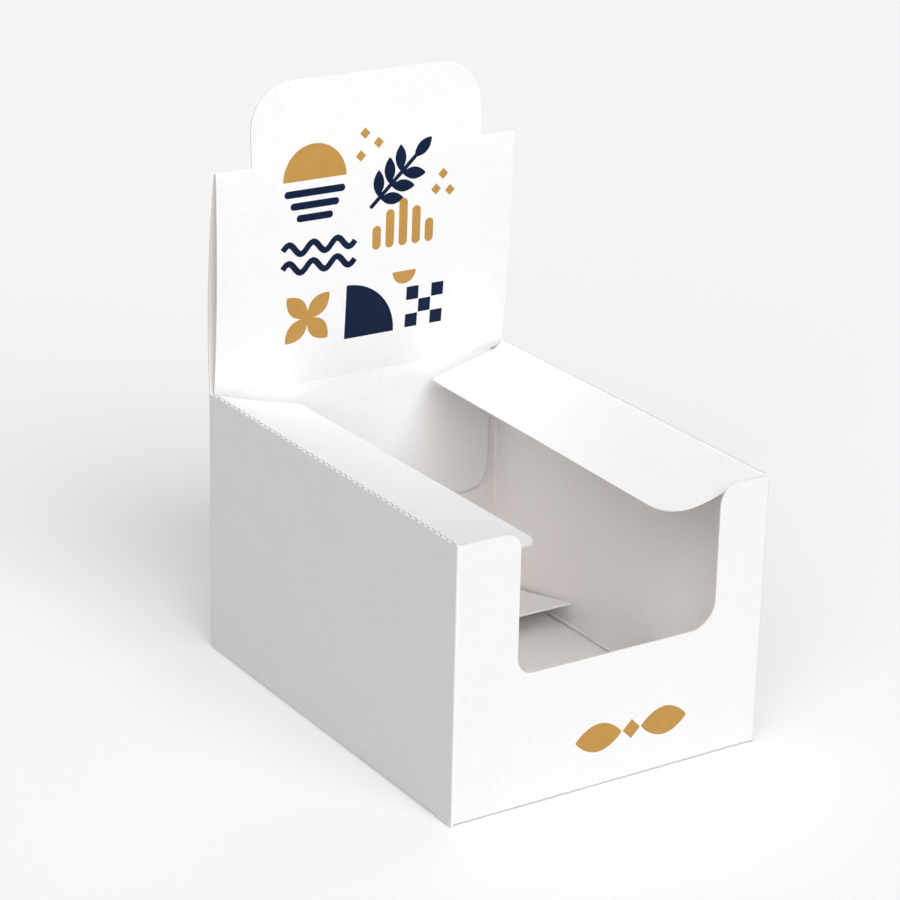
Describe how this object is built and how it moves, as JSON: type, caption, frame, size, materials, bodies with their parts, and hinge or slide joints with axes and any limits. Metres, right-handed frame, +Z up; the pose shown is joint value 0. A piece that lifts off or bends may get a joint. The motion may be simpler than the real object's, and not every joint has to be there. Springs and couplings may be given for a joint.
{
  "type": "counter display box",
  "caption": "Folded white paperboard counter display tray with a cut-out front, two drooping top flaps and a tall double header with a rounded crest.",
  "frame": {"origin": "middle of the footprint, on the surface that the box stands on, at the outer face of the bottom panel", "axes": "+Z up; -Y towards the cut-out front panel; +X towards the right wall as seen from the front"},
  "size_m": [0.125, 0.1657, 0.2115],
  "materials": {
    "white_board": "matt white coated paperboard outside, uncoated and slightly warmer inside",
    "dark_ink": "flat dark blue print",
    "ochre_ink": "flat ochre print"
  },
  "bodies": {
    "carton": {"carton_body": "white_board"},
    "left_flap": {"left_top_flap": "white_board"},
    "right_flap": {"right_top_flap": "white_board"},
    "bottom": {"bottom_panel": "white_board"}
  },
  "joints": [
    {"name": "left_flap_crease", "type": "hinge", "parent": "carton", "child": "left_flap", "pos_m": [-0.0619, 0, 0.0994], "axis": [0, -1, 0], "range_deg": [-66, 150]},
    {"name": "right_flap_crease", "type": "hinge", "parent": "carton", "child": "right_flap", "pos_m": [0.0619, 0, 0.0994], "axis": [0, 1, 0], "range_deg": [-66, 150]},
    {"name": "bottom_crease", "type": "hinge", "parent": "carton", "child": "bottom", "pos_m": [0.0625, 0, 0], "axis": [0, -1, 0], "range_deg": [0, 180]}
  ]
}
